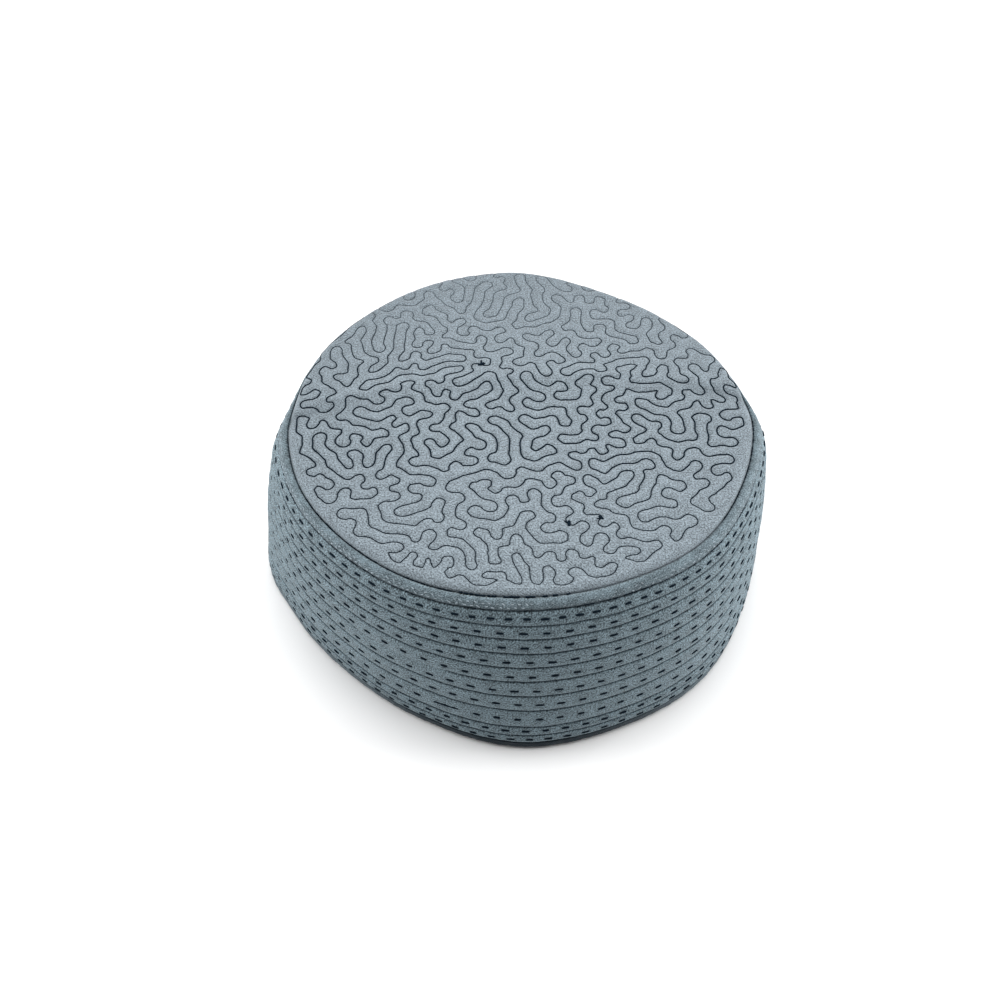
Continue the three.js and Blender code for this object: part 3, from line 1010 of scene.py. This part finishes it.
def make_band(steps, stitches):
    """The side band: lapped rows with a dimple under each stitch, and a plain inside."""
    bm = spun_section(band_section(), steps)
    shade = bm.verts.layers.float.new(FOLD_SHADE)
    tree = KDTree(len(DIMPLE_PLACES) * len(stitches))
    for heading, height, length, tilt, _ in stitches:
        place, along, _ = stitch_frame(heading, height, tilt)
        for share in DIMPLE_PLACES:
            tree.insert(place + along * share * length, 0)
    tree.balance()
    marks = (OUTER_MARK + INNER_MARK) / 2
    bottom, top = GROOVES[-1][0], GROOVES[0][0]
    for vert in bm.verts:
        heading = heading_of(vert.co)
        height = vert.co.z
        sway = 0.0
        if bottom + SWAY_MARGIN < height < top - SWAY_MARGIN:
            place = on_wall(heading, height, 0.0)
            sway = lumps(ROW_SWAY, place.x, place.y, height)
        if math.hypot(vert.co.x, vert.co.y) > marks:
            point, lean, depth = band_skin(heading, height)
            gap = tree.find(point)[2]
            dimple = math.exp(-((gap / STITCH_DIMPLE) ** 2))
            lean -= STITCH_SINK * dimple
            vert.co = on_wall(heading, height + sway, lean)
            # Painted shade: darker in the grooves, unevenly and less near the creases, and in each stitch's
            # dimple
            groove_shade_ripple = 1.0 + GROOVE_SHADE_RIPPLE * ripple(*point, GROOVE_SHADE_RIPPLE_SIZE, 20) - (1.0 - END_GROOVE) * near_end(heading)
            vert[shade] = min(1.0, max(depth * groove_shade_ripple, DIMPLE_SHADE * dimple))
        else:
            lean = outer_lean(heading, height)[0] - INNER_SLACK
            vert.co = on_wall(heading, height, min(lean, INNER_MOST) - BAND_CLOTH)
            vert[shade] = 0.0
    lay_cloth_map(bm, lambda vert: (heading_of(vert.co), vert.co.z))
    return bm


def make_row_stitches(stitches):
    """The dark thread of every running stitch, each in its dimple."""
    bm = bmesh.new()
    for heading, height, length, tilt, heft in stitches:
        place, along, out = stitch_frame(heading, height, tilt)
        size = (length * (LENGTH_KEPT + (1 - LENGTH_KEPT) * heft), STITCH_WIDTH * heft, STITCH_RISE * heft)
        add_stitch(bm, place - out * (STITCH_SINK - STITCH_PROUD * heft), along, out, size)
    return bm


# Hem

def make_hem(steps):
    """The turned hem: its section spun round and laid along the wall, flat where it stands."""
    controls = [Vector(corner) for corner in HEM_SECTION]
    section = []
    for k, start in enumerate(controls):
        end = controls[(k + 1) % len(controls)]
        section += [start.lerp(end, n / HEM_STEPS) for n in range(HEM_STEPS)]
    bm = spun_section([(PROFILE_RADIUS + p.x, p.y) for p in section], steps)
    shade = bm.verts.layers.float.new(FOLD_SHADE)
    for vert, heading, height, lean, place in on_section(bm):
        free = min(1.0, height / HEM_FREE)
        vert.co = on_wall(heading, height, lean + free * lumps(HEM_LUMPS, place.x, place.y, height))
        # Painted shade, darkest at the front
        front = math.exp(-((heading_gap(heading, 0.0) / HEM_SHADE_REACH) ** 4))
        vert[shade] = HEM_SHADE_END + (1 - HEM_SHADE_END) * front
    lay_cloth_map(bm, section_place)
    return bm


# Materials

def link(tree, source, out, target, into):
    """Joins an output of one node to an input of another."""
    tree.links.new(source.outputs[out], target.inputs[into])


def make_node(tree, kind, values=None, **settings):
    """A new shader node with its settings and the values of its inputs."""
    node = tree.nodes.new(kind)
    for name, value in settings.items():
        setattr(node, name, value)
    for name, value in (values or {}).items():
        node.inputs[name].default_value = value
    return node


def felted_grain():
    """Node group: the fine grain, twill lines and mottling of the felted cloth, as a shade and a height."""
    group = bpy.data.node_groups.get("felted_grain")
    if group:
        return group
    group = bpy.data.node_groups.new("felted_grain", "ShaderNodeTree")
    group.interface.new_socket(name="Place", in_out="INPUT", socket_type="NodeSocketVector")
    for name, value in CONTRASTS.items():
        socket = group.interface.new_socket(name=name, in_out="INPUT", socket_type="NodeSocketFloat")
        socket.default_value = value
    for name in ("Shade", "Height"):
        group.interface.new_socket(name=name, in_out="OUTPUT", socket_type="NodeSocketFloat")
    entry, leave = make_node(group, "NodeGroupInput"), make_node(group, "NodeGroupOutput")
    grain = make_node(group, "ShaderNodeTexNoise", GRAIN_NOISE)
    twill = make_node(group, "ShaderNodeTexWave", TWILL_WAVE, wave_type="BANDS", bands_direction="DIAGONAL")
    mottle = make_node(group, "ShaderNodeTexNoise", MOTTLE_NOISE)

    def worked_out(kind, *terms):
        node = make_node(group, "ShaderNodeMath", operation=kind)
        for slot, term in enumerate(terms):
            if isinstance(term, tuple):
                link(group, *term, node, slot)
            else:
                node.inputs[slot].default_value = term
        return node, 0

    parts = []
    for texture, name in zip((grain, twill, mottle), CONTRASTS):
        link(group, entry, "Place", texture, "Vector")
        parts.append(worked_out("MULTIPLY", worked_out("SUBTRACT", (texture, "Fac"), 0.5), (entry, name)))
    total = worked_out("ADD", worked_out("ADD", parts[0], parts[1]), parts[2])
    link(group, *worked_out("MAXIMUM", worked_out("ADD", total, 1.0), SHADE_LEAST), leave, "Shade")
    rises = [worked_out("MULTIPLY", (texture, "Fac"), share)
             for texture, share in zip((grain, twill), RELIEF_SHARES)]
    link(group, *worked_out("ADD", *rises), leave, "Height")
    return group


def matte_material(name, values):
    """A new material whose shader has the values, with its node tree."""
    material = bpy.data.materials.new(name)
    material.use_nodes = True
    shader = material.node_tree.nodes["Principled BSDF"]
    for socket, value in values.items():
        shader.inputs[socket].default_value = value
    return material, material.node_tree, shader


def cloth_material(name, colour, felt):
    """A matte felted cloth, with painted shade that darkens it in its folds, grooves and other shaded parts.
    """
    material, tree, shader = matte_material(name, CLOTH_FINISH)
    material.diffuse_color = (*colour, 1.0)
    place = make_node(tree, "ShaderNodeUVMap", uv_map=CLOTH_MAP)
    grain = make_node(tree, "ShaderNodeGroup", node_tree=felted_grain())
    for socket, strength in zip(CONTRASTS, ("grain", "twill", "mottle")):
        grain.inputs[socket].default_value = felt[strength]
    link(tree, place, "UV", grain, "Place")
    # The sockets 6, 7 and 2 of a colour mix are its two colours and its result
    shaded = make_node(tree, "ShaderNodeMix", {"Factor": 1.0, 6: (*colour, 1.0)},
                       data_type="RGBA", blend_type="MULTIPLY")
    link(tree, grain, "Shade", shaded, 7)
    # Painted shade: the fold_shade attribute mixes the cloth towards a near-black colour
    fold = make_node(tree, "ShaderNodeAttribute", attribute_name=FOLD_SHADE)
    depth = make_node(tree, "ShaderNodeMath", {1: felt["fold"]}, operation="MULTIPLY")
    link(tree, fold, "Fac", depth, 0)
    darker = make_node(tree, "ShaderNodeMix", {7: (*PAINTED_SHADE_COLOUR, 1.0)}, data_type="RGBA")
    link(tree, depth, 0, darker, "Factor")
    link(tree, shaded, 2, darker, 6)
    link(tree, darker, 2, shader, "Base Color")
    relief = make_node(tree, "ShaderNodeBump", CLOTH_RELIEF)
    link(tree, grain, "Height", relief, "Height")
    link(tree, relief, "Normal", shader, "Normal")
    return material


def thread_material(name, colour, rough):
    """A twisted sewing thread: fine strands, darker and lighter."""
    material, tree, shader = matte_material(name, {"Roughness": rough, "Specular IOR Level": 0.05})
    place = make_node(tree, "ShaderNodeTexCoord")
    strands = make_node(tree, "ShaderNodeTexNoise", STRAND_NOISE)
    link(tree, place, "Object", strands, "Vector")
    dark, light = ((*[min(1.0, c * share) for c in colour], 1.0) for share in STRAND_SHARES)
    mix = make_node(tree, "ShaderNodeMix", {6: dark, 7: light}, data_type="RGBA")
    link(tree, strands, "Fac", mix, "Factor")
    link(tree, mix, 2, shader, "Base Color")
    relief = make_node(tree, "ShaderNodeBump", STRAND_RELIEF)
    link(tree, strands, "Fac", relief, "Height")
    link(tree, relief, "Normal", shader, "Normal")
    return material


def material_of(name):
    """The cap's materials, each made once."""
    made = bpy.data.materials.get(name)
    if made:
        return made
    cloth = tuple(cap_settings().cloth_colour)
    if name in FELTS:
        return cloth_material(name, [c * t for c, t in zip(cloth, FELTS[name]["tint_and_shade"])], FELTS[name])
    if name == "edge_thread":
        return thread_material(name, [c * EDGE_THREAD_TINT for c in cloth], 0.9)
    return thread_material(name, tuple(cap_settings().thread_colour), 0.95)


# Settings, operators and panel

class PrayerCapSettings(bpy.types.PropertyGroup):
    """Sizes and colours of the prayer cap."""

    cloth_colour: FloatVectorProperty(
        name="Cloth", description="Colour of the felted cotton", subtype="COLOR", size=3,
        min=0.0, max=1.0, default=(0.285, 0.337, 0.376))
    thread_colour: FloatVectorProperty(
        name="Thread", description="Colour of the quilting and stitching thread", subtype="COLOR", size=3,
        min=0.0, max=1.0, default=(0.004, 0.010, 0.017))
    quilting_spacing: FloatProperty(
        name="Quilting spacing", description="Distance that the loops of the quilting line keep apart",
        subtype="DISTANCE", unit="LENGTH", default=0.0047, min=0.004, max=0.03)
    quilting_seed: IntProperty(
        name="Quilting layout", description="Number that picks the quilting line's course", default=5, min=0)
    crown_cells: IntProperty(
        name="Crown cells", description="Mesh cells across the crown", default=266, min=40, max=290)
    round_steps: IntProperty(
        name="Steps round", description="Mesh steps round the band", default=560, min=64, max=640)
    fill_light: FloatProperty(
        name="Fill light", description="Strength of the room's even light", default=0.22, min=0.0)


class PRAYERCAP_OT_crown(bpy.types.Operator):
    """Makes the quilted crown, its quilting thread and its tie-off knots"""

    bl_idname = "prayer_cap.crown"
    bl_label = "Quilted crown"

    def execute(self, context):
        bm, line = make_crown(cap_settings().crown_cells // (1))
        crown = new_piece(bm, "quilted_crown", material_of("crown_felt"), ("crown_panel",))
        thread = new_piece(make_quilting_thread(line), "quilting_thread",
                           material_of("dark_thread"))
        knots = new_piece(make_tie_offs(line), "tie_off_knots", material_of("dark_thread"))
        return {"FINISHED"}


class PRAYERCAP_OT_rim(bpy.types.Operator):
    """Makes the rim roll, its edge stitches, and the crown seam's thread and dark stitches"""

    bl_idname = "prayer_cap.rim"
    bl_label = "Rim roll"

    def execute(self, context):
        new_piece(make_rim(round_steps()), "rolled_rim", material_of("rim_felt"), ("rim_roll",))
        new_piece(make_edge_stitches(3), "rim_edge_stitches", material_of("edge_thread"))
        new_piece(make_seam_thread(), "crown_seam_thread", material_of("dark_thread"))
        new_piece(make_seam_stitches(4), "crown_seam_stitches", material_of("dark_thread"))
        return {"FINISHED"}


class PRAYERCAP_OT_band(bpy.types.Operator):
    """Makes the side band with its lapped rows and its running stitches"""

    bl_idname = "prayer_cap.band"
    bl_label = "Side band"

    def execute(self, context):
        stitches = running_stitches(5)
        band = new_piece(make_band(round_steps(), stitches), "stitched_band",
                         material_of("band_felt"), ("side_band",))
        rows = new_piece(make_row_stitches(stitches), "row_stitches",
                         material_of("dark_thread"))
        return {"FINISHED"}


class PRAYERCAP_OT_hem(bpy.types.Operator):
    """Makes the turned hem that the cap stands on"""

    bl_idname = "prayer_cap.hem"
    bl_label = "Hem"

    def execute(self, context):
        new_piece(make_hem(round_steps()), "turned_hem", material_of("hem_felt"), ("hem_band",))
        return {"FINISHED"}


def soft_box(name, place, target, size, watts):
    """A rectangular studio light that faces a target."""
    light = bpy.data.lights.new(name, "AREA")
    light.shape = "RECTANGLE"
    light.size, light.size_y = size
    light.energy = watts
    holder = bpy.data.objects.new(name, light)
    holder.location = place
    holder.rotation_euler = (Vector(target) - Vector(place)).to_track_quat("-Z", "Y").to_euler()
    bpy.context.scene.collection.objects.link(holder)


class PRAYERCAP_OT_stage(bpy.types.Operator):
    """Makes the pale floor, the soft lights and the camera"""

    bl_idname = "prayer_cap.stage"
    bl_label = "Floor, lights and camera"

    def execute(self, context):
        scene = context.scene
        bm = bmesh.new()
        bmesh.ops.create_grid(bm, x_segments=1, y_segments=1, size=FLOOR_HALF)
        mesh = bpy.data.meshes.new("floor")
        bm.to_mesh(mesh)
        bm.free()
        floor = bpy.data.objects.new("floor", mesh)
        floor.location = (0, 0, -FLOOR_DROP)
        scene.collection.objects.link(floor)
        paint = matte_material("floor_paper", FLOOR_FINISH)[0]
        mesh.materials.append(paint)
        for name, place, size, watts in SOFT_BOXES:
            soft_box(name, place, LIGHT_TARGET, size, watts)
        world = bpy.data.worlds.new("soft_room")
        world.use_nodes = True
        room = world.node_tree.nodes["Background"]
        room.inputs["Color"].default_value = (1.0, 1.0, 1.0, 1.0)
        room.inputs["Strength"].default_value = cap_settings().fill_light
        scene.world = world
        scene.view_settings.view_transform = "Standard"
        camera = bpy.data.cameras.new("photo_camera")
        camera.sensor_width = 36.0
        camera.lens = CAMERA_FOCAL_PX / PHOTO_WIDTH_PX * camera.sensor_width
        camera.clip_start = 0.01
        holder = bpy.data.objects.new("photo_camera", camera)
        down = math.radians(CAMERA_DOWN)
        look = Vector((0, math.cos(down), -math.sin(down)))
        holder.location = (CAMERA_TARGET + PLAN_SHIFT - look * CAMERA_DISTANCE) * MM
        holder.rotation_euler = (math.pi / 2 - down, 0, 0)
        scene.collection.objects.link(holder)
        scene.camera = holder
        return {"FINISHED"}


class PRAYERCAP_PT_panel(bpy.types.Panel):
    """Lists the cap's settings and pieces"""

    bl_idname = "PRAYERCAP_PT_panel"
    bl_label = "Prayer Cap"
    bl_space_type = "VIEW_3D"
    bl_region_type = "UI"
    bl_category = "Prayer Cap"

    def draw(self, context):
        settings = context.scene.prayer_cap
        for name in PrayerCapSettings.__annotations__:
            self.layout.prop(settings, name)
        for operator in MAKERS:
            self.layout.operator(operator.bl_idname)


MAKERS = (PRAYERCAP_OT_stage, PRAYERCAP_OT_crown, PRAYERCAP_OT_rim, PRAYERCAP_OT_hem, PRAYERCAP_OT_band)
CLASSES = (PrayerCapSettings, *MAKERS, PRAYERCAP_PT_panel)


def register():
    for item in CLASSES:
        bpy.utils.register_class(item)
    bpy.types.Scene.prayer_cap = PointerProperty(type=PrayerCapSettings)


def unregister():
    del bpy.types.Scene.prayer_cap
    for item in reversed(CLASSES):
        bpy.utils.unregister_class(item)


def main():
    register()
    bpy.ops.prayer_cap.stage()
    bpy.ops.prayer_cap.crown()
    bpy.ops.prayer_cap.rim()
    bpy.ops.prayer_cap.hem()
    bpy.ops.prayer_cap.band()


if __name__ == "__main__":
    main()
